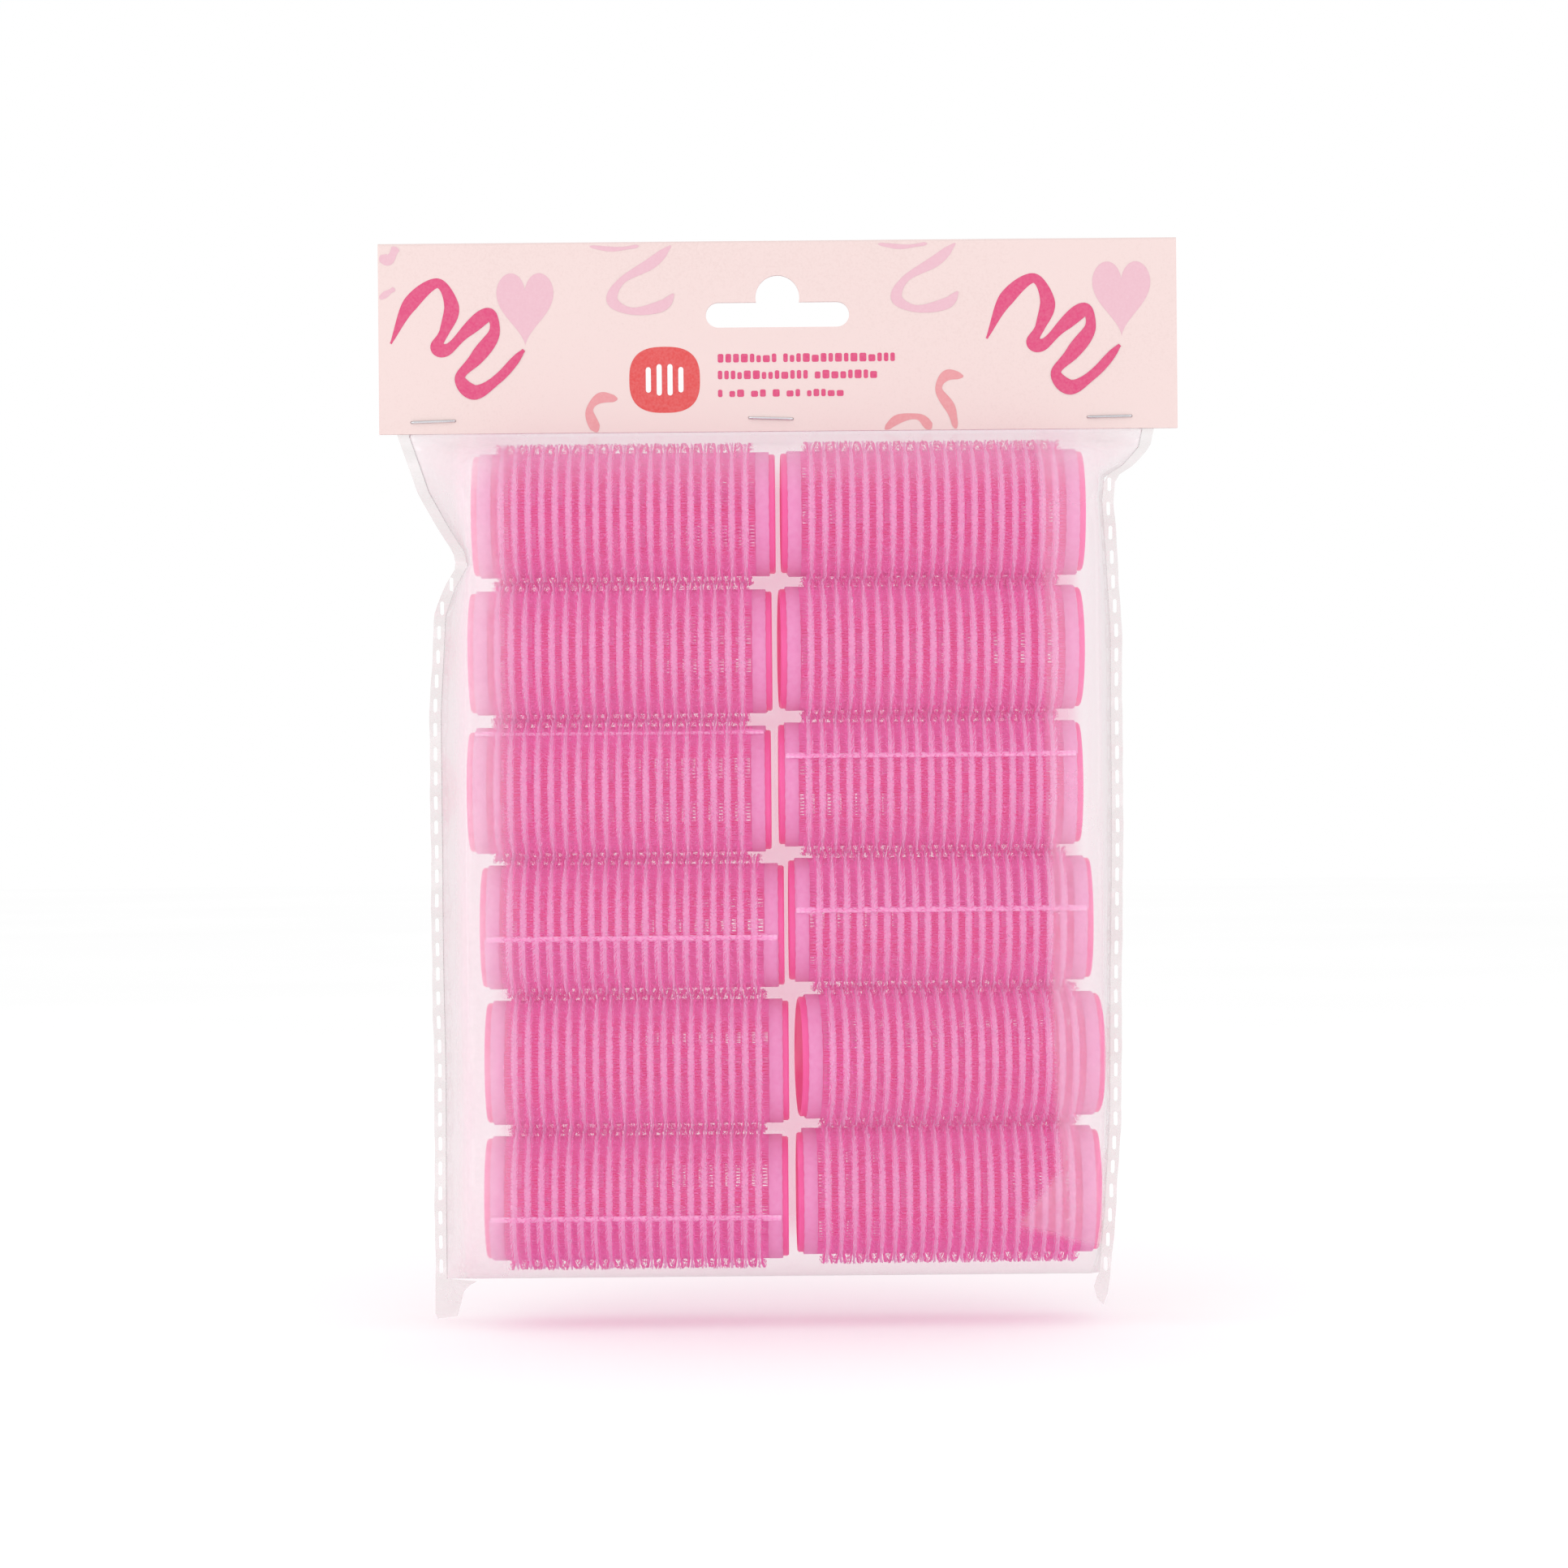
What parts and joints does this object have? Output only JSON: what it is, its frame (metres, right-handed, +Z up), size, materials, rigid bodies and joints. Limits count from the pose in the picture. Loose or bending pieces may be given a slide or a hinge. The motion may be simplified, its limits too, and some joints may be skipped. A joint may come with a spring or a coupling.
{
  "type": "self-gripping hair roller hang pack",
  "caption": "Clear film bag of slotted hair rollers sleeved in hook tape, lying in two columns under a stapled, folded header card with a hang slot.",
  "frame": {"origin": "centre of the round part of the hang slot, midway between the card leaves", "axes": "+Z up as the pack hangs, -Y out of its front, X along the rollers"},
  "size_m": [0.162, 0.0322, 0.2175],
  "materials": {
    "card": "smooth coated board, printed",
    "film": "clear crinkled film",
    "staple_wire": "bright drawn wire",
    "roller_core": "moulded satin plastic",
    "hook_tape": "woven nylon hook tape"
  },
  "bodies": {
    "header": {"header_card": "card", "bag_collar": "film", "staple_left": "staple_wire", "staple_middle": "staple_wire", "staple_right": "staple_wire"},
    "bag": {"bag_front_film": "film", "bag_back_film": "film", "side_weld_left": "film", "side_weld_right": "film"},
    "roller_left_1": {"roller_left_1_core": "roller_core", "roller_left_1_sleeve": "hook_tape"},
    "roller_left_2": {"roller_left_2_core": "roller_core", "roller_left_2_sleeve": "hook_tape"},
    "roller_left_3": {"roller_left_3_core": "roller_core", "roller_left_3_sleeve": "hook_tape"},
    "roller_left_4": {"roller_left_4_core": "roller_core", "roller_left_4_sleeve": "hook_tape"},
    "roller_left_5": {"roller_left_5_core": "roller_core", "roller_left_5_sleeve": "hook_tape"},
    "roller_left_6": {"roller_left_6_core": "roller_core", "roller_left_6_sleeve": "hook_tape"},
    "roller_right_1": {"roller_right_1_core": "roller_core", "roller_right_1_sleeve": "hook_tape"},
    "roller_right_2": {"roller_right_2_core": "roller_core", "roller_right_2_sleeve": "hook_tape"},
    "roller_right_3": {"roller_right_3_core": "roller_core", "roller_right_3_sleeve": "hook_tape"},
    "roller_right_4": {"roller_right_4_core": "roller_core", "roller_right_4_sleeve": "hook_tape"},
    "roller_right_5": {"roller_right_5_core": "roller_core", "roller_right_5_sleeve": "hook_tape"},
    "roller_right_6": {"roller_right_6_core": "roller_core", "roller_right_6_sleeve": "hook_tape"}
  },
  "joints": [
    {"name": "bag_swing", "type": "hinge", "parent": "header", "child": "bag", "pos_m": [0, 0, -0.0286], "axis": [1, 0, 0], "range_deg": [-80, 80]},
    {"name": "roller_left_1_spin", "type": "hinge", "parent": "bag", "child": "roller_left_1", "pos_m": [-0.0313, 0, -0.044], "axis": [1, 0, 0], "continuous": true},
    {"name": "roller_left_2_spin", "type": "hinge", "parent": "bag", "child": "roller_left_2", "pos_m": [-0.0322, 0, -0.0718], "axis": [1, 0, 0], "continuous": true},
    {"name": "roller_left_3_spin", "type": "hinge", "parent": "bag", "child": "roller_left_3", "pos_m": [-0.0326, 0, -0.0999], "axis": [1, 0, 0], "continuous": true},
    {"name": "roller_left_4_spin", "type": "hinge", "parent": "bag", "child": "roller_left_4", "pos_m": [-0.0302, 0, -0.1274], "axis": [1, 0, 0], "continuous": true},
    {"name": "roller_left_5_spin", "type": "hinge", "parent": "bag", "child": "roller_left_5", "pos_m": [-0.0295, 0, -0.1549], "axis": [1, 0, 0], "continuous": true},
    {"name": "roller_left_6_spin", "type": "hinge", "parent": "bag", "child": "roller_left_6", "pos_m": [-0.0298, 0, -0.1824], "axis": [1, 0, 0], "continuous": true},
    {"name": "roller_right_1_spin", "type": "hinge", "parent": "bag", "child": "roller_right_1", "pos_m": [0.0308, 0, -0.0439], "axis": [0.9998, 0.0175, 0], "continuous": true},
    {"name": "roller_right_2_spin", "type": "hinge", "parent": "bag", "child": "roller_right_2", "pos_m": [0.0302, 0, -0.0714], "axis": [0.9994, 0.0349, 0], "continuous": true},
    {"name": "roller_right_3_spin", "type": "hinge", "parent": "bag", "child": "roller_right_3", "pos_m": [0.0299, 0, -0.0989], "axis": [1, 0.0087, 0], "continuous": true},
    {"name": "roller_right_4_spin", "type": "hinge", "parent": "bag", "child": "roller_right_4", "pos_m": [0.0317, 0, -0.1264], "axis": [1, 0.0087, 0], "continuous": true},
    {"name": "roller_right_5_spin", "type": "hinge", "parent": "bag", "child": "roller_right_5", "pos_m": [0.0334, 0, -0.154], "axis": [0.9976, 0.0698, 0], "continuous": true},
    {"name": "roller_right_6_spin", "type": "hinge", "parent": "bag", "child": "roller_right_6", "pos_m": [0.0329, 0, -0.1816], "axis": [0.9998, 0.0175, 0], "continuous": true}
  ]
}
